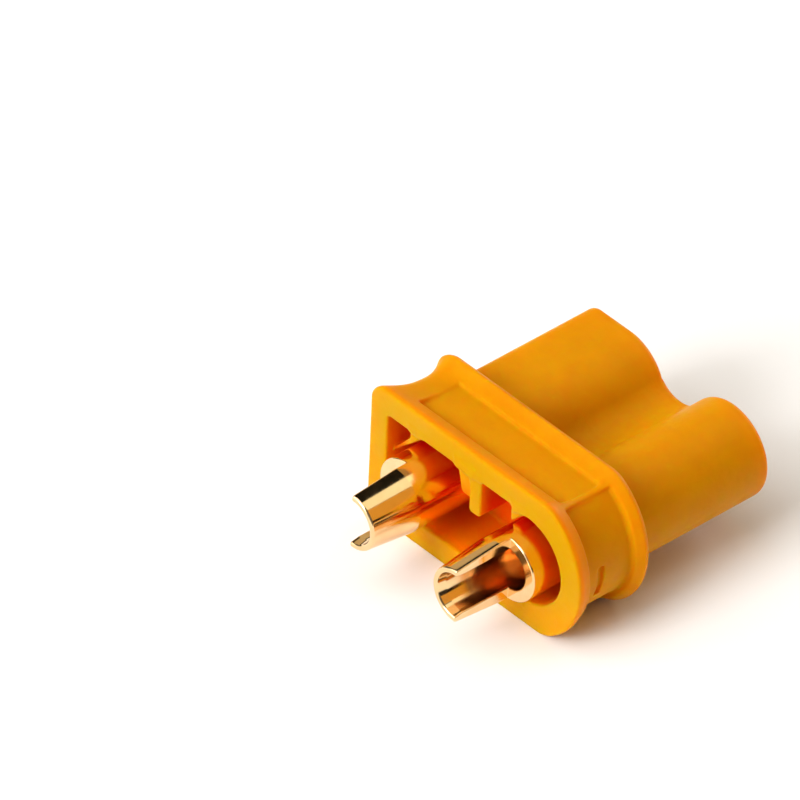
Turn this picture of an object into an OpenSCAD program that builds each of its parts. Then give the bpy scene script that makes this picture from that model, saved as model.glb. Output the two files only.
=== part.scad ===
// Two-pole battery connector, socket half: one nylon moulding that holds two
// turned, gold-plated socket contacts with half-cut solder cups.
// Frame: origin at the centre of the mating face, +Y out of the sockets,
// X across the two poles (square keyed end at -X, round end at +X), +Z up.

/* [Hood] */
// Width of the hood across both poles
hood_w = 10.3; // [10:0.1:11]
// Thickness of the hood
hood_h = 5.4; // [5.2:0.1:5.8]
// Length of the hood from its rear rim to the front of its lip
hood_l = 3.2; // [3.1:0.1:3.6]
// Radius of the round end of the hood
hood_end_r = 3.0; // [2.9:0.1:3.2]
// Radius that blends the round end into the flat top and bottom
hood_blend_r = 1.2; // [1:0.1:1.4]
// Radius of the corners of the square end
hood_corner_r = 0.7; // [0.5:0.05:0.9]
// Depth of the finger waist round the hood
waist_d = 0.36; // [0.2:0.02:0.42]
// Distance of the deepest part of the waist from the rear rim
waist_y = 2.0; // [1.8:0.1:2.2]
// Distance of the sunk side panels from the rear rim
panel_y = 0.63; // [0.5:0.01:0.8]
// Half length of the sunk panel on top and underneath
panel_x = 3.4; // [2.5:0.1:3.6]
// Half height of the sunk panel in the square end
panel_z = 1.7; // [1:0.1:1.8]
// Chamfer on the outer edge of the rear rim
rim_c = 0.06; // [0.03:0.01:0.15]
// Chamfer on the lip of the hood and on the mating face
edge_c = 0.1; // [0.05:0.01:0.15]

/* [Nose] */
// Length of the whole moulding, rear rim to mating face
body_l = 9.25; // [8.5:0.05:10]
// Outer radius of the two barrels
barrel_r = 1.8; // [1.7:0.02:1.9]
// Distance of the flat end of the keyed barrel from the middle
key_x = 4.5; // [4.3:0.05:4.7]
// Radius of the corners of the keyed barrel
key_r = 0.55; // [0.3:0.05:0.8]
// Half thickness of the web between the barrels
web_z = 0.38; // [0.3:0.02:0.6]
// Radius of the valley between the barrels
valley_r = 1.07; // [0.9:0.01:1.07]

/* [Rear well] */
// Depth of the well round the solder cups
well_d = 2.2; // [1.5:0.1:2.4]
// Half height of the well
well_z = 1.75; // [1.6:0.05:1.9]
// Distance of the square end of the well from the middle
well_x = 4.3; // [4.1:0.05:4.4]
// Radius of the round end of the well
well_r = 1.7; // [1.55:0.05:1.75]
// Width of the rib that hangs in the middle of the well
rib_w = 0.54; // [0.4:0.02:0.7]
// Height of that rib
rib_h = 1.5; // [0.8:0.1:1.6]
// Distance of the corner webs from the contact axes
web_dist = 1.35; // [1.3:0.01:1.5]

/* [Contacts] */
// Distance between the two contact axes
pitch = 5.0; // [4.9:0.05:5.1]
// Bore of the socket, for a 2 mm pin
socket_d = 2.0; // [1.9:0.02:2.1]
// Depth of the socket bore
socket_l = 6.0; // [5:0.1:6.2]
// Diameter of the rear body of the contact
contact_d = 2.5; // [2.46:0.02:2.6]
// Outside diameter of the thin-walled socket in front of it
sleeve_d = 2.4; // [2.34:0.02:2.42]
// Distance of the contact's front end behind the mating face
contact_set = 0.65; // [0.4:0.05:0.9]
// How far the contact body stands out of the rear rim
shoulder_y = 0.7; // [0.4:0.05:1]
// How far the solder cup reaches behind the rear rim
cup_y = 3.1; // [2.6:0.05:3.5]
// Outside diameter of the tapered solder cup at its tip
cup_d = 2.12; // [2.06:0.02:2.26]
// Bore of the solder cup
cup_bore_d = 1.6; // [1.4:0.02:1.64]
// How far the bore of the solder cup runs on in front of the rear rim
cup_bore_y = 0.7; // [0.1:0.1:0.8]

/* [Hidden] */
$fn = 48;
eps = 0.05;
play = 0.01;                      // radial room of a contact in its barrel
y_rim = -body_l;                  // rear rim
y_lip = y_rim + hood_l;           // front of the hood's lip
y_stop = -contact_set;            // front end of a contact
y_step = y_lip;                   // where a contact's body steps down to its sleeve
hx = hood_w / 2;
hz = hood_h / 2;
end_x = hx - hood_end_r;          // centre of the round end
bl_z = hz - hood_blend_r;         // centres of the blends
bl_x = end_x + sqrt(pow(hood_end_r - hood_blend_r, 2) - bl_z * bl_z);
bl_a = atan2(bl_z, bl_x - end_x); // half angle of the round end
panel_d = waist_d + 0.06;         // depth of the sunk panels
mark_d = 0.16;                    // depth of the polarity marks in them
panel_l = waist_y + 0.2 - panel_y;
valley_z = web_z + valley_r;      // centre of the valley
px = pitch / 2;

// ---- helpers -------------------------------------------------------------
// a shape drawn in X and Z, drawn out along Y
module prism(y0, y1) translate([0, y1, 0]) rotate([90, 0, 0]) linear_extrude(y1 - y0) children();
// a profile drawn as radius and Y, turned about the Y axis
module turned() rotate([-90, 0, 0]) rotate_extrude() children();
// an edge profile (outward distance, Y) swept round an arc in X and Z
module arc_edge(cx, cz, r, a0, a1)
    translate([cx, 0, cz]) rotate([-90, 0, 0]) rotate([0, 0, -a1])
        rotate_extrude(angle = a1 - a0) translate([r, 0]) children();
// the same round a hollow arc
module hollow_edge(cx, cz, r, a0, a1)
    translate([cx, 0, cz]) rotate([-90, 0, 0]) rotate([0, 0, -a1])
        rotate_extrude(angle = a1 - a0) translate([r, 0]) mirror([1, 0]) children();
// the same along a straight top edge, from x0 to x1
module top_edge(x0, x1, z)
    translate([x1, 0, z]) rotate([0, -90, 0]) linear_extrude(x1 - x0) children();
// the same along the flat end
module end_edge(x, h)
    translate([-x, 0, 0]) rotate([0, 180, 0]) translate([0, 0, -h]) linear_extrude(2 * h) children();
module both_z() { children(); mirror([0, 0, 1]) children(); }

// ---- hood ----------------------------------------------------------------
// hollow of the waist, as outward distance and Y from the rear rim
module waist_2d() polygon([[0.4, 0.2], [0, 0.2], [-0.4 * waist_d, 0.6], [-0.8 * waist_d, 1.2], [-waist_d, waist_y - 0.2],
    [-waist_d, waist_y + 0.1], [-0.75 * waist_d, hood_l - 0.65], [0, hood_l - 0.3], [0.4, hood_l - 0.3]]);
// side of the hood, from an inner line out to its outline at r
module side_2d(r) {
    difference() {
        square([r, hood_l]);
        translate([r, 0]) {
            waist_2d();
            polygon([[-rim_c, -0.2], [-rim_c, 0], [0, rim_c], [0.4, rim_c], [0.4, -0.2]]);
            translate([0, hood_l]) polygon([[-edge_c, 0.2], [-edge_c, 0], [0, -edge_c], [0.4, -edge_c], [0.4, 0.2]]);
        }
    }
}
module hood_block() {
    both_z() {
        top_edge(-hx + hood_corner_r, bl_x, 0) side_2d(hz);
        arc_edge(-hx + hood_corner_r, hz - hood_corner_r, 0, 90, 180) side_2d(hood_corner_r);
        arc_edge(bl_x, bl_z, 0, bl_a, 90) side_2d(hood_blend_r);
    }
    arc_edge(end_x, 0, 0, -bl_a, bl_a) side_2d(hood_end_r);
    end_edge(hx - hood_corner_r, hz - hood_corner_r) side_2d(hood_corner_r);
}
module panels() {
    both_z() translate([-panel_x, panel_y, hz - panel_d]) cube([2 * panel_x - 0.2, panel_l, 1]);
    translate([-hx - 1 + panel_d, panel_y, -panel_z]) cube([1, panel_l, 2 * panel_z]);
    arc_edge(end_x, 0, hood_end_r, 3 - bl_a, bl_a - 3) translate([-panel_d - 0.03, panel_y]) square([1, panel_l + 0.4]);
}
// polarity marks cut into the end panels
module marks() {
    arc_edge(end_x, 0, hood_end_r, -22, 7) translate([-panel_d - 0.03 - mark_d, 1.24]) square([1, 0.26]);
    translate([-hx + panel_d + mark_d - 1, 1.27, -0.6]) cube([1, 0.26, 1.2]);
    translate([-hx + panel_d + mark_d - 1, 0.8, -0.13]) cube([1, 1.2, 0.26]);
}
module hood() {
    translate([0, y_rim, 0]) difference() {
        hood_block();
        panels();
        marks();
    }
}

// ---- nose ----------------------------------------------------------------
module nose_2d() {
    difference() {
        union() {
            for (s = [-1, 1]) translate([s * px, 0]) circle(barrel_r);
            translate([-key_x + key_r, -barrel_r]) square([key_x - key_r - px, 2 * barrel_r]);
            translate([-key_x, -barrel_r + key_r]) square([key_x - px, 2 * (barrel_r - key_r)]);
            for (s = [-1, 1]) translate([-key_x + key_r, s * (barrel_r - key_r)]) circle(key_r);
            translate([-1.1, -0.9]) square([2.2, 1.8]);
        }
        for (s = [-1, 1]) translate([0, s * valley_z]) circle(valley_r);
    }
}
module nose_chamfer_2d() polygon([[-edge_c, 0.2], [-edge_c, 0], [0, -edge_c], [0.4, -edge_c], [0.4, 0.2]]);
module nose() {
    difference() {
        prism(y_lip - 0.3, 0) nose_2d();
        arc_edge(px, 0, barrel_r, -149, 149) nose_chamfer_2d();
        both_z() {
            arc_edge(-px, 0, barrel_r, 31, 90) nose_chamfer_2d();
            top_edge(-key_x + key_r - 0.001, -px + 0.001, barrel_r) nose_chamfer_2d();
            arc_edge(-key_x + key_r, barrel_r - key_r, key_r, 90, 180) nose_chamfer_2d();
            hollow_edge(0, valley_z, valley_r, -148, -32) nose_chamfer_2d();
        }
        end_edge(key_x, barrel_r - key_r + 0.001) nose_chamfer_2d();
    }
}

// ---- well behind the contacts ---------------------------------------------
module well_2d() {
    translate([-well_x, -well_z]) square([well_x + px - 0.6, 2 * well_z]);
    translate([px, 0]) circle(well_r);
}
// webs set at 45 degrees behind each contact
module webs_2d() {
    k = web_dist * sqrt(2);
    for (s = [-1, 1]) {
        // across the square corner, narrowing to the end wall
        polygon([[well_z + 0.1 - px - k, s * (well_z + 0.1)], [1.06 - well_x, s * (well_z + 0.1)],
                 [1.06 - well_x, s * (well_z - 0.31)], [-well_x - 0.1, s * (px + k - well_x + 0.02)],
                 [-well_x - 0.1, s * (px + k - well_x - 0.1)]]);
        // beside the round pole
        polygon([[px - k + well_z - 0.2, s * (well_z + 0.1)], [px - k + 1.12, s * (well_z + 0.1)],
                 [px - k + 1.0, s * 0.98]]);
    }
}
module rib_2d() {
    translate([-rib_w / 2, well_z - rib_h + rib_w / 2]) square([rib_w, rib_h]);
    translate([0, well_z - rib_h + rib_w / 2]) circle(rib_w / 2);
}
// lower shoulder beside the rib, towards the square end
module shoulder_2d() translate([-0.92, well_z - 1.2]) square([0.8, 1.3]);

module housing() color([0.93, 0.62, 0.05]) {
    difference() {
        union() {
            difference() {
                union() { hood(); nose(); }
                prism(y_rim - 1, y_rim + well_d) well_2d();
            }
            prism(y_rim + 0.05, y_rim + well_d + eps) webs_2d();
            prism(y_rim + 0.05, y_rim + well_d + eps) rib_2d();
            prism(y_rim + 0.15, y_rim + well_d + eps) shoulder_2d();
        }
        for (s = [-1, 1]) translate([s * px, 0, 0]) turned() {
            // seat of the contact, then the pin's opening with its lead-in
            polygon([[0, y_rim + well_d - 1], [contact_d / 2 + play, y_rim + well_d - 1],
                     [contact_d / 2 + play, y_step], [sleeve_d / 2 + play, y_step],
                     [sleeve_d / 2 + play, y_stop], [socket_d / 2 + 0.12, y_stop],
                     [socket_d / 2 + 0.12, -0.25], [socket_d / 2 + 0.4, 0], [socket_d / 2 + 0.4, 0.2], [0, 0.2]]);
        }
    }
}

// ---- contacts --------------------------------------------------------------
module contact_body() {
    r = contact_d / 2;
    f = sleeve_d / 2;
    c = cup_d / 2;
    b = cup_bore_d / 2;
    s = socket_d / 2;
    y_t = y_rim - cup_y;          // tip of the cup
    y_s = y_rim - shoulder_y;     // shoulder
    difference() {
        turned() polygon([[0, y_t], [c - 0.06, y_t], [c, y_t + 0.06], [r, y_s - 0.5], [r, y_step], [f, y_step],
                          [f, y_stop - 0.06], [f - 0.06, y_stop], [0, y_stop]]);
        // solder bore with its drill point
        turned() polygon([[0, y_t - 1], [b, y_t - 1], [b, y_rim + cup_bore_y], [0, y_rim + cup_bore_y + b * 0.6]]);
        // socket bore with its lead-in and drill point
        turned() polygon([[0, 1], [s + 0.1, 1], [s + 0.1, y_stop], [s, y_stop - 0.14],
                          [s, y_stop - socket_l], [0, y_stop - socket_l - s * 0.6]]);
        // half of the cup is cut away on the outer side
        translate([0.05, y_t - 1, -2]) cube([2, 1 + cup_y - shoulder_y - 0.05, 4]);
    }
}
module contact_negative() color([0.93, 0.76, 0.46]) translate([px, 0, 0]) contact_body();
module contact_positive() color([0.93, 0.76, 0.46]) translate([-px, 0, 0]) mirror([1, 0, 0]) contact_body();

housing();
contact_positive();
contact_negative();
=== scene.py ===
import bmesh, bpy, math
import numpy as np
from mathutils import Matrix, Vector


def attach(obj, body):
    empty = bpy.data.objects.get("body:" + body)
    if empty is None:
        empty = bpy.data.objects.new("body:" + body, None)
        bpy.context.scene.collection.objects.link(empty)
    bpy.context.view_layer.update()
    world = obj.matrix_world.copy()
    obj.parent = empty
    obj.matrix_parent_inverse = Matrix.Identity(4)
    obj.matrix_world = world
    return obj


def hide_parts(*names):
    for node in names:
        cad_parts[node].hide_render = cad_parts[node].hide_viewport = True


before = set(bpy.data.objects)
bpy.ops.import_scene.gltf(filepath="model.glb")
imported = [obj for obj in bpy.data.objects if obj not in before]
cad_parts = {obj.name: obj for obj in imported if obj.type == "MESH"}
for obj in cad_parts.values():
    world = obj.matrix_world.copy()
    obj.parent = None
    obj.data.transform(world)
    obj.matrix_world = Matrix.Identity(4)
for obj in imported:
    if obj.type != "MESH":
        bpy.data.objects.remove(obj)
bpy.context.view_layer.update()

MM = 0.001
Y0 = -9.25            # rear rim in the part's frame, in mm; shapes below count Y from the rim


# ---------------------------------------------------------------- shapes ----
def smax(a, b, k):
    h = np.maximum(k - np.abs(a - b), 0.0) / k
    return np.maximum(a, b) + h * h * k * 0.25


def smin(a, b, k):
    return -smax(-a, -b, k)


def step(e0, e1, x):
    t = np.clip((x - e0) / (e1 - e0), 0, 1)
    return t * t * (3 - 2 * t)


def hood_2d(X, Y, Z):
    """Signed distance to the hood's outline: square end at -X, round end at +X."""
    a = np.abs(Z)
    rc = 0.66 + 0.26 * step(0.0, 1.5, Y)
    qx, qz = -X - (5.15 - rc), a - (2.7 - rc)
    far = np.hypot(np.maximum(qx, 0), np.maximum(qz, 0)) + np.minimum(np.maximum(qx, qz), 0) - rc
    cx, bx, bz = 2.15, 3.145, 1.5
    rho = np.hypot(X - cx, Z)
    wedge = (X > cx) & (a * (bx - cx) <= (X - cx) * bz)
    flat = np.where(X > cx, np.maximum(a - bz, rho - 1.8), a - bz)
    corner = np.hypot(X - bx, a - bz)
    near = np.where(wedge, np.where(rho > 1.8, rho - 1.8, np.maximum(a - bz, rho - 1.8)),
                    np.where(X <= bx, flat * (a <= bz) + (a - bz) * (a > bz), corner)) - 1.2
    return np.where(X < 0, far, near)


def waist(Y):
    """How far the waist draws the outline in, at Y from the rim."""
    r1, r2 = 4.68, 1.43
    rear = 0.36 - (r1 - np.sqrt(np.maximum(r1 * r1 - (2.0 - Y) ** 2, 0.01)))
    front = 0.36 - (r2 - np.sqrt(np.maximum(r2 * r2 - (Y - 2.0) ** 2, 0.01)))
    w = np.where(Y < 2.0, rear, front)
    return 0.5 * (w + np.sqrt(w * w + 0.0004))


def nose_2d(X, Z):
    a = np.abs(Z)
    near = np.hypot(X - 2.5, Z) - 1.8
    far_round = np.hypot(X + 2.5, Z) - 1.8
    r = 0.55
    qx, qz = -X - (4.5 - r), a - (1.8 - r)
    sq = np.hypot(np.maximum(qx, 0), np.maximum(qz, 0)) + np.minimum(np.maximum(qx, qz), 0) - r
    sq = np.maximum(sq, X + 2.5)
    web = np.maximum(np.maximum(np.abs(X) - 0.97, 1.11 - np.hypot(X, a - 1.49)), a - 0.935)
    return np.minimum(np.minimum(near, far_round), np.minimum(sq, web))


def well_2d(X, Z):
    a = np.abs(Z)
    r = 0.14
    qx, qz = np.abs(X + 1.25) - (3.05 - r), a - (1.75 - r)
    bx = np.hypot(np.maximum(qx, 0), np.maximum(qz, 0)) + np.minimum(np.maximum(qx, qz), 0) - r
    rnd = np.hypot(X - 2.5, Z) - 1.68
    return np.minimum(bx, rnd)


def housing_sdf(X, Y, Z):
    a = np.abs(Z)
    o = hood_2d(X, Y, Z)
    side = o + waist(Y)
    # sunk panels: top and underneath, the square end, the round end
    floor = -(o + 0.42)
    span = np.maximum(0.64 - Y, Y - 2.42)
    p_top = smax(smax(floor, span, 0.09), np.abs(X + 0.12) - 3.42, 0.14)
    p_top = np.maximum(p_top, 1.0 - a)
    p_end = smax(smax(floor, span, 0.09), a - 1.7, 0.14)
    p_end = np.maximum(p_end, X + 4.0)
    span_r = np.maximum(0.63 - Y, Y - 2.66)
    p_rnd = smax(smax(-(o + 0.45), span_r, 0.12), a * 0.515 - (X - 2.15) * 0.857, 0.14)
    p_rnd = np.maximum(p_rnd, 2.9 - X)
    panel = np.minimum(np.minimum(p_top, p_end), p_rnd)
    side = smax(side, -panel, 0.09)
    # polarity marks cut into the end panels
    cut_n = smax(smax(-(o + 0.62), np.abs(Y - 1.37) - 0.13, 0.05), np.abs(Z + 0.33) - 0.62, 0.05)
    cut_n = np.maximum(cut_n, 3.5 - X)
    deep_p = -(o + 0.58)
    cut_a = smax(smax(deep_p, np.abs(Y - 1.4) - 0.13, 0.05), a - 0.6, 0.05)
    cut_b = smax(smax(deep_p, np.abs(Y - 1.4) - 0.6, 0.05), a - 0.13, 0.05)
    cut_p = np.maximum(np.minimum(cut_a, cut_b), X + 4.0)
    side = smax(side, -np.minimum(cut_n, cut_p), 0.06)
    hood = smax(smax(side, -Y, 0.12), Y - 3.24, 0.42)
    # nose
    n = nose_2d(X, Z)
    nose = smax(np.maximum(n, 2.6 - Y), Y - 9.25, 0.26)
    d = smin(hood, nose, 0.14)
    # rear well
    well = smax(well_2d(X, Z), Y - 2.2, 0.15)
    d = smax(d, -well, 0.1)
    # rib that hangs in the middle, with a lower shoulder towards the square end
    rib = np.hypot(np.maximum(np.abs(X + 0.02) - 0.12, 0), np.maximum(0.40 - Z, 0)) - 0.16
    rib = np.maximum(rib, Z - 2.0)
    rib = smax(rib, np.maximum(0.02 - Y, Y - 2.6), 0.1)
    low = np.hypot(np.maximum(np.abs(X + 0.55) - 0.2, 0), np.maximum(0.7 - Z, 0)) - 0.18
    low = np.maximum(low, Z - 2.0)
    low = smax(low, np.maximum(0.04 + 0.18 * np.maximum(1.75 - Z, 0) - Y, Y - 2.6), 0.12)
    d = smin(d, low, 0.24)
    d = smin(d, rib, 0.12)
    # webs set at 45 degrees: one across each square corner, narrowing to the end wall
    s2 = 0.70710678
    t = (a - X - 2.5) * s2
    q = (X + 2.5 + a) * s2
    hyp = (a - 1.44) * 0.663 - (X + 3.24) * 0.748
    web = np.maximum(1.35 - t, smin(hyp, -3.24 - X, 0.08))
    web = np.maximum(web, np.maximum(a - 2.0, -X - 4.6))
    face = 0.04 + 0.32 * (1 - step(-0.7, 0.6, q))
    web = smax(web, np.maximum(face - Y, Y - 2.6), 0.08)
    d = smin(d, web, 0.12)
    # and one beside the round pole
    tooth = smax(1.3 - (a - X + 2.5) * s2, 1.68 - X, 0.1)
    tooth = np.maximum(tooth, np.maximum(a - 2.0, X - 2.5))
    tooth = smax(tooth, np.maximum(0.03 - Y, Y - 2.6), 0.1)
    d = smin(d, tooth, 0.1)
    # seats of the contacts and the openings for the pins
    for cx in (-2.5, 2.5):
        rho = np.hypot(X - cx, Z)
        seat = np.maximum(rho - 1.26, np.maximum(1.2 - Y, Y - 3.2))
        sleeve = np.maximum(rho - 1.21, np.maximum(3.1 - Y, Y - 8.6))
        pin = np.maximum(rho - 1.12 - np.maximum(Y - 9.0, 0.0) * 1.1, 8.5 - Y)
        d = smax(d, -np.minimum(np.minimum(seat, sleeve), pin), 0.05)
    return d


def surface_nets(f, lo, hi, h):
    """Quads on the zero surface of f, with each corner moved onto the surface."""
    n = [int(math.ceil((b - a) / h)) + 1 for a, b in zip(lo, hi)]
    ax = [np.float32(lo[i]) + np.float32(h) * np.arange(n[i], dtype=np.float32) for i in range(3)]
    V = np.empty(n, np.float32)
    for i0 in range(0, n[0], 16):
        X, Y, Z = np.meshgrid(ax[0][i0:i0 + 16], ax[1], ax[2], indexing="ij")
        V[i0:i0 + 16] = f(X, Y, Z)
    S = V < 0
    c = [S[i:n[0] - 1 + i, j:n[1] - 1 + j, k:n[2] - 1 + k] for i in (0, 1) for j in (0, 1) for k in (0, 1)]
    tot = np.zeros(c[0].shape, np.int8)
    for q in c:
        tot += q
    act = (tot > 0) & (tot < 8)
    idx = np.full(act.shape, -1, np.int64)
    cells = np.argwhere(act)
    idx[act] = np.arange(len(cells))
    P = np.zeros((len(cells), 3))
    cnt = np.zeros(len(cells))
    corner = {}
    for i in (0, 1):
        for j in (0, 1):
            for k in (0, 1):
                corner[(i, j, k)] = V[cells[:, 0] + i, cells[:, 1] + j, cells[:, 2] + k]
    for A in corner:
        for axis in range(3):
            if A[axis]:
                continue
            B = tuple(1 if t == axis else A[t] for t in range(3))
            va, vb = corner[A], corner[B]
            m = (va < 0) != (vb < 0)
            t = np.where(m, va / np.where(m, va - vb, 1), 0)
            p = np.tile(np.array(A, float), (len(cells), 1))
            p[:, axis] += t
            P += p * m[:, None]
            cnt += m
    P = np.array(lo) + h * (cells + P / cnt[:, None])
    quads = []
    for axis in range(3):
        o = [t for t in range(3) if t != axis]
        sl = [slice(None)] * 3
        sl[axis] = slice(0, n[axis] - 1)
        s0 = S[tuple(sl)]
        sl[axis] = slice(1, n[axis])
        s1 = S[tuple(sl)]
        e = np.argwhere(s0 != s1)
        e = e[(e[:, o[0]] > 0) & (e[:, o[1]] > 0) & (e[:, o[0]] < n[o[0]] - 1) & (e[:, o[1]] < n[o[1]] - 1)]
        inside = s0[e[:, 0], e[:, 1], e[:, 2]]
        q = []
        for du, dv in ((1, 1), (0, 1), (0, 0), (1, 0)):
            w = e.copy()
            w[:, o[0]] -= du
            w[:, o[1]] -= dv
            q.append(idx[w[:, 0], w[:, 1], w[:, 2]])
        q = np.stack(q, 1)
        flip = inside if axis != 1 else ~inside
        q[~flip] = q[~flip][:, ::-1]
        quads.append(q)
    Q = np.concatenate(quads)
    for _ in range(3):
        v, g = value_and_slope(f, P)
        g2 = np.maximum((g * g).sum(1), 0.05)
        move = -(v / g2)[:, None] * g
        ln = np.maximum(np.linalg.norm(move, axis=1), 1e-9)
        P = P + move * np.minimum(1, 0.6 * h / ln)[:, None]
    return P, Q


def value_and_slope(f, P, e=0.012):
    v = f(P[:, 0], P[:, 1], P[:, 2])
    g = np.empty_like(P)
    for i in range(3):
        A, B = P.copy(), P.copy()
        A[:, i] += e
        B[:, i] -= e
        g[:, i] = (f(A[:, 0], A[:, 1], A[:, 2]) - f(B[:, 0], B[:, 1], B[:, 2])) / (2 * e)
    return v, g


def make_mesh(name, verts_mm, faces, normals=None):
    """A mesh from vertices in mm counted from the rim, with smooth faces."""
    me = bpy.data.meshes.new(name)
    v = (np.asarray(verts_mm) + np.array([0, Y0, 0])) * MM
    faces = np.asarray(faces)
    k = faces.shape[1]
    me.vertices.add(len(v))
    me.vertices.foreach_set("co", v.ravel())
    me.loops.add(faces.size)
    me.loops.foreach_set("vertex_index", faces.ravel())
    me.polygons.add(len(faces))
    me.polygons.foreach_set("loop_start", np.arange(0, faces.size, k))
    me.polygons.foreach_set("loop_total", np.full(len(faces), k))
    me.update(calc_edges=True)
    me.validate()
    me.polygons.foreach_set("use_smooth", np.ones(len(me.polygons), bool))
    ob = bpy.data.objects.new(name, me)
    bpy.context.scene.collection.objects.link(ob)
    return ob


def solid(name, f, lo, hi, h, limit, node):
    """A smooth closed mesh of the shape f, at most limit triangles, standing for one CAD node."""
    P, Q = surface_nets(f, lo, hi, h)
    ob = make_mesh(name, P, Q)
    if 2 * len(Q) > limit:
        mod = ob.modifiers.new("thin", "DECIMATE")
        mod.ratio = limit / (2.0 * len(Q))
        thin = bpy.data.meshes.new_from_object(ob.evaluated_get(bpy.context.evaluated_depsgraph_get()))
        ob.modifiers.clear()
        old, ob.data = ob.data, thin
        bpy.data.meshes.remove(old)
        thin.name = name
    me = ob.data
    # edges of no length that the thinning leaves are closed
    bm = bmesh.new()
    bm.from_mesh(me)
    bmesh.ops.dissolve_degenerate(bm, dist=1e-7, edges=bm.edges)
    bm.to_mesh(me)
    bm.free()
    me.polygons.foreach_set("use_smooth", np.ones(len(me.polygons), bool))
    co = np.empty(len(me.vertices) * 3)
    me.vertices.foreach_get("co", co)
    co = co.reshape(-1, 3) / MM - np.array([0, Y0, 0])
    _, g = value_and_slope(f, co)
    g /= np.maximum(np.linalg.norm(g, axis=1), 1e-9)[:, None]
    me.normals_split_custom_set_from_vertices([tuple(x) for x in g])
    me.materials.clear()
    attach(ob, "root")
    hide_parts(node)
    print(name, len(me.polygons), "faces from", len(Q))
    return ob


def contact_sdf(X, Y, Z):
    """A contact about its own axis: socket in front, solder cup behind, cut half away towards +X."""
    rho = np.hypot(X, Z)
    # the cup tapers from the body to its tip
    body = smax(rho - 1.06 - 0.19 * np.clip((Y + 3.1) / 1.9, 0, 1), -3.1 - Y, 0.09)
    body = np.maximum(body, Y - 3.2)
    sleeve = smax(rho - 1.2, Y - 8.6, 0.06)
    sleeve = np.maximum(sleeve, 1.0 - Y)
    d = np.minimum(body, sleeve)
    d = smax(d, -np.maximum(0.05 - X, Y + 0.75), 0.05)
    flare = 0.06 * np.clip((-2.75 - Y) / 0.35, 0, 1)
    bore = np.maximum(rho - 0.8 - flare, Y - 0.7 - (0.8 - rho) * 0.6)
    d = smax(d, -bore, 0.06)
    front = np.maximum(rho - 1.0 - np.maximum(Y - 8.46, 0) * 0.7, 2.6 - Y - (1.0 - rho) * 0.6)
    return smax(d, -front, 0.05)


housing = solid("housing_moulding", housing_sdf, (-5.3, -0.15, -2.85), (5.3, 9.4, 2.85),
                0.055, 190000, "housing")
contact_neg = solid("contact_negative_turned", lambda X, Y, Z: contact_sdf(X - 2.5, Y, Z),
                    (1.1, -3.27, -1.4), (3.9, 8.75, 1.4), 0.033, 110000,
                    "contact_negative")
contact_pos = solid("contact_positive_turned", lambda X, Y, Z: contact_sdf(-2.5 - X, Y, Z),
                    (-3.9, -3.27, -1.4), (-1.1, 8.75, 1.4), 0.033, 110000,
                    "contact_positive")


# ------------------------------------------------------------- materials ----
def new_material(name):
    m = bpy.data.materials.new(name)
    m.use_nodes = True
    nt = m.node_tree
    nt.nodes.clear()
    out = nt.nodes.new("ShaderNodeOutputMaterial")
    bs = nt.nodes.new("ShaderNodeBsdfPrincipled")
    nt.links.new(bs.outputs[0], out.inputs[0])
    co = nt.nodes.new("ShaderNodeTexCoord")
    mp = nt.nodes.new("ShaderNodeMapping")
    mp.inputs["Scale"].default_value = (1000, 1000, 1000)     # millimetres
    nt.links.new(co.outputs["Object"], mp.inputs["Vector"])
    return m, nt, bs, mp.outputs["Vector"]


def noise(nt, vec, scale, detail=3.0, rough=0.55):
    n = nt.nodes.new("ShaderNodeTexNoise")
    n.inputs["Scale"].default_value = scale
    n.inputs["Detail"].default_value = detail
    n.inputs["Roughness"].default_value = rough
    nt.links.new(vec, n.inputs["Vector"])
    return n.outputs["Fac"]


def ramp(nt, fac, stops):
    r = nt.nodes.new("ShaderNodeValToRGB")
    e = r.color_ramp.elements
    e[0].position, e[0].color = stops[0]
    e[1].position, e[1].color = stops[-1]
    for pos, col in stops[1:-1]:
        x = e.new(pos)
        x.color = col
    nt.links.new(fac, r.inputs["Fac"])
    return r.outputs["Color"]


def spread(nt, fac, lo, hi):
    r = nt.nodes.new("ShaderNodeMapRange")
    r.inputs["From Min"].default_value = 0.3
    r.inputs["From Max"].default_value = 0.7
    r.inputs["To Min"].default_value = lo
    r.inputs["To Max"].default_value = hi
    nt.links.new(fac, r.inputs["Value"])
    return r.outputs["Result"]


def bump(nt, height, strength, distance, normal=None):
    n = nt.nodes.new("ShaderNodeBump")
    n.inputs["Strength"].default_value = strength
    n.inputs["Distance"].default_value = distance
    nt.links.new(height, n.inputs["Height"])
    if normal is not None:
        nt.links.new(normal, n.inputs["Normal"])
    return n.outputs["Normal"]


def blend(nt, attribute, col, other):
    """The colour, going over to the other one where the mesh attribute is 1."""
    att = nt.nodes.new("ShaderNodeAttribute")
    att.attribute_name = attribute
    mix = nt.nodes.new("ShaderNodeMix")
    mix.data_type = "RGBA"
    nt.links.new(att.outputs["Fac"], mix.inputs["Factor"])
    nt.links.new(col, mix.inputs["A"])
    mix.inputs["B"].default_value = other
    return mix.outputs["Result"], att.outputs["Fac"]


# how far into the rear well a point lies, where painted shade and painted red light make the colour darker
# and redder; the rear rim is made paler as painted light
me = housing.data
co = np.empty(len(me.vertices) * 3)
me.vertices.foreach_get("co", co)
co = co.reshape(-1, 3) / MM - np.array([0, Y0, 0])
inside = step(0.12, -0.12, well_2d(co[:, 0], co[:, 2])) * (co[:, 1] < 3.0)
low = step(-0.8, -1.5, co[:, 2])
near = step(0.7, 1.3, co[:, 0])
painted_well_shade = inside * ((1 - low) * step(0.0, 0.55 - 0.4 * near, co[:, 1]) + low * 0.8 * step(0.1, 1.5, co[:, 1]))
at = me.attributes.new("painted_well_shade", "FLOAT", "POINT")
at.data.foreach_set("value", painted_well_shade.astype(np.float32))
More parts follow.
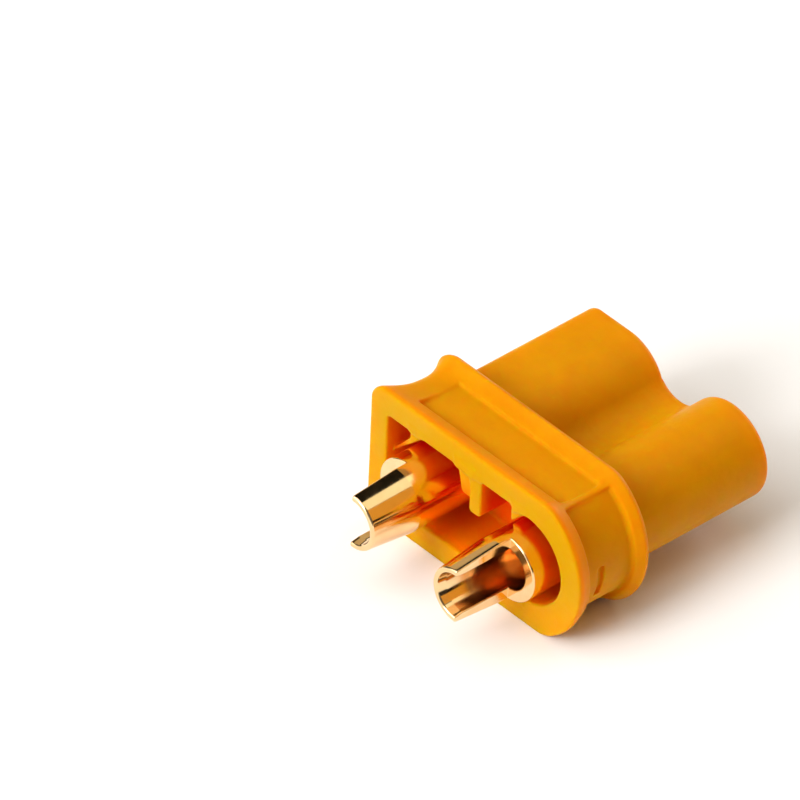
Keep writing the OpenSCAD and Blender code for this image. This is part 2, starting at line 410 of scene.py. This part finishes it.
# painted light: the lower wall of the well is made a brighter orange, as if lit
painted_wall_light = step(0.25, 0.0, well_2d(co[:, 0], co[:, 2])) * low * step(0.02, 0.35, co[:, 1]) * (co[:, 1] < 3.0)
at = me.attributes.new("painted_wall_light", "FLOAT", "POINT")
at.data.foreach_set("value", painted_wall_light.astype(np.float32))
# painted light: the lit rear rim face is made paler, more so on its upper part
painted_rim_light = step(0.14, 0.02, co[:, 1]) * (1 - painted_well_shade) * (0.35 + 0.65 * step(-2.2, 0.4, co[:, 2]))
at = me.attributes.new("painted_rim_light", "FLOAT", "POINT")
at.data.foreach_set("value", painted_rim_light.astype(np.float32))

# yellow nylon: glows orange-red where the walls are thin, from its scatter of light; in the hollows the
# orange-red is partly painted shade and painted red light
nylon, nt, bs, vec = new_material("nylon")
col = ramp(nt, noise(nt, vec, 0.9, 4), [(0.30, (0.63, 0.243, 0.0006, 1)), (0.5, (0.65, 0.257, 0.0008, 1)),
                                       (0.70, (0.67, 0.271, 0.0011, 1))])
# painted light on the rear rim
col, _ = blend(nt, "painted_rim_light", col, (0.485, 0.253, 0.0006, 1))
# painted light on the lower wall of the well
col, _ = blend(nt, "painted_wall_light", col, (0.95, 0.22, 0.0006, 1))
# painted shade and painted red light in the rear well
col, _ = blend(nt, "painted_well_shade", col, (0.66, 0.045, 0.0004, 1))
nt.links.new(col, bs.inputs["Base Color"])
nt.links.new(spread(nt, noise(nt, vec, 2.2, 5), 0.40, 0.52), bs.inputs["Roughness"])
bs.inputs["Specular IOR Level"].default_value = 0.1
bs.inputs["Specular Tint"].default_value = (1.0, 0.62, 0.12, 1)
bs.inputs["IOR"].default_value = 1.5
bs.inputs["Subsurface Weight"].default_value = 0.9
bs.inputs["Subsurface Radius"].default_value = (1.0, 0.14, 0.018)
bs.inputs["Subsurface Scale"].default_value = 0.0015
fine = bump(nt, noise(nt, vec, 14.0, 3), 0.10, 0.00004)
nt.links.new(bump(nt, noise(nt, vec, 1.6, 3), 0.12, 0.00025, fine), bs.inputs["Normal"])
housing.data.materials.append(nylon)

# painted shade: inside each cup the gold is made darker and coppery, more so towards the blind end of its
# bore
for ob, cx in ((contact_neg, 2.5), (contact_pos, -2.5)):
    me = ob.data
    co = np.empty(len(me.vertices) * 3)
    me.vertices.foreach_get("co", co)
    co = co.reshape(-1, 3) / MM - np.array([0, Y0, 0])
    bore = 0.7 * step(-2.7, -1.5, co[:, 1]) + 0.3 * step(-0.7, 0.3, co[:, 1])
    bore = bore * (np.hypot(co[:, 0] - cx, co[:, 2]) < 0.84) * (co[:, 1] < 1.6)
    at = me.attributes.new("bore", "FLOAT", "POINT")
    at.data.foreach_set("value", bore.astype(np.float32))

# thin gold on turned brass: fine marks round the axis, slightly uneven shine
gold, nt, bs, vec = new_material("gold_plate")
col = ramp(nt, noise(nt, vec, 1.4, 4), [(0.3, (0.90, 0.61, 0.31, 1)), (0.7, (0.95, 0.68, 0.37, 1))])
# painted shade inside the cups
col, att = blend(nt, "bore", col, (0.62, 0.28, 0.08, 1))
nt.links.new(col, bs.inputs["Base Color"])
bs.inputs["Metallic"].default_value = 1.0
dull = nt.nodes.new("ShaderNodeMath")
dull.operation = "MULTIPLY_ADD"
nt.links.new(att, dull.inputs[0])
dull.inputs[1].default_value = 0.10
nt.links.new(spread(nt, noise(nt, vec, 3.0, 4), 0.08, 0.15), dull.inputs[2])
nt.links.new(dull.outputs[0], bs.inputs["Roughness"])
stretch = nt.nodes.new("ShaderNodeMapping")
stretch.inputs["Scale"].default_value = (0.25, 26.0, 0.25)
nt.links.new(vec, stretch.inputs["Vector"])
marks = noise(nt, stretch.outputs["Vector"], 1.0, 3)
nt.links.new(bump(nt, marks, 0.03, 0.00003), bs.inputs["Normal"])
contact_neg.data.materials.append(gold)
contact_pos.data.materials.append(gold)

# ------------------------------------------------------------- the stage ----
bpy.ops.mesh.primitive_plane_add(size=3.0, location=(0, Y0 * MM, -2.7 * MM))
floor = bpy.context.object
floor.name = "floor"
fm, nt, bs, vec = new_material("floor")
col = ramp(nt, noise(nt, vec, 0.02, 3), [(0.3, (0.93, 0.93, 0.93, 1)), (0.7, (0.95, 0.95, 0.95, 1))])
nt.links.new(col, bs.inputs["Base Color"])
bs.inputs["Roughness"].default_value = 0.9
bs.inputs["Specular IOR Level"].default_value = 0.1
floor.data.materials.append(fm)

world = bpy.data.worlds.new("studio")
bpy.context.scene.world = world
world.use_nodes = True
nt = world.node_tree
sky = nt.nodes["Background"]
sky.inputs["Color"].default_value = (1, 0.92, 0.80, 1)
# a pale room towards -Y, a dark one towards +Y
way = nt.nodes.new("ShaderNodeTexCoord")
part = nt.nodes.new("ShaderNodeSeparateXYZ")
nt.links.new(way.outputs["Generated"], part.inputs[0])
fall = nt.nodes.new("ShaderNodeMapRange")
fall.inputs["From Min"].default_value = -0.3
fall.inputs["From Max"].default_value = 0.3
fall.inputs["To Min"].default_value = 0.21
fall.inputs["To Max"].default_value = 0.008
nt.links.new(part.outputs["Y"], fall.inputs["Value"])
nt.links.new(fall.outputs["Result"], sky.inputs["Strength"])


def softbox(name, direction, dist, size, power, size_y=None, along=None, color=(1, 1, 1)):
    """A soft light that faces the part; its width lies along the given direction, else level."""
    li = bpy.data.lights.new(name, "AREA")
    li.energy = power
    li.color = color
    li.shape = "RECTANGLE"
    li.size = size
    li.size_y = size_y or size
    ob = bpy.data.objects.new(name, li)
    bpy.context.scene.collection.objects.link(ob)
    z = Vector(direction).normalized()
    x = Vector(along) if along else Vector((0, 0, 1)).cross(z)
    x = (x - z * x.dot(z)).normalized()
    m = Matrix((x, z.cross(x), z)).transposed().to_4x4()
    m.translation = Vector((0, -0.006, 0)) + z * dist
    ob.matrix_world = m
    return ob


softbox("key", (-0.35, -0.85, 0.5), 0.5, 0.6, 2.0)
softbox("well", (-0.04, -0.86, 0.5), 0.5, 0.2, 1.55)
softbox("overhead", (-0.15, -0.35, 0.93), 0.45, 0.40, 0.88)
softbox("edge", (0.257, 0.38, 0.889), 0.40, 0.21, 0.15, 0.20, along=(0.96, 0, -0.27), color=(1, 0.97, 0.75))
softbox("left", (-0.78, 0.46, 0.42), 0.40, 0.25, 0.11, color=(1, 0.80, 0.48))
softbox("right", (0.71, 0.44, 0.55), 0.40, 0.27, 0.15, 0.24, along=(0.6, 0, -0.8), color=(1, 0.50, 0.07))
softbox("inner", (-0.14, 0.588, 0.797), 0.40, 0.34, 0.04, 0.09, along=(1, 0, 0), color=(1, 0.6, 0.2))
softbox("front", (-0.12, 0.95, 0.30), 0.5, 0.24, 1.05)

# ------------------------------------------------------------ the camera ----
A, E, ROLL, S, TX, TY = 46.6, 38.7, 2.4, 30.61, 473.5, 521.05
ca, sa, ce, se = math.cos(math.radians(A)), math.sin(math.radians(A)), math.cos(math.radians(E)), math.sin(math.radians(E))
right = Vector((ca, sa, 0))
up = Vector((-se * sa, se * ca, ce))
back = Vector((sa * ce, -ca * ce, se))
ro = math.radians(ROLL)
# the picture is turned clockwise by ROLL, so the camera is turned the other way
cr = right * math.cos(ro) + up * math.sin(ro)
cu = -right * math.sin(ro) + up * math.cos(ro)
DIST = 0.5
cam = bpy.data.cameras.new("camera")
cam_ob = bpy.data.objects.new("camera", cam)
bpy.context.scene.collection.objects.link(cam_ob)
# rim point (0, rim, 0) lies at pixel (TX, TY); the picture's middle is (400, 400)
dx, dy = (400 - TX) / S, -(400 - TY) / S
target = Vector((0, Y0, 0)) * MM + (cr * dx + cu * dy) * MM
m = Matrix((cr, cu, back)).transposed().to_4x4()
m.translation = target + back * DIST
cam_ob.matrix_world = m
cam.sensor_width = 36.0
cam.lens = 36.0 * DIST / (800 / S * MM)
cam.clip_start, cam.clip_end = 0.05, 20.0
bpy.context.scene.camera = cam_ob
bpy.context.scene.view_settings.view_transform = "Standard"
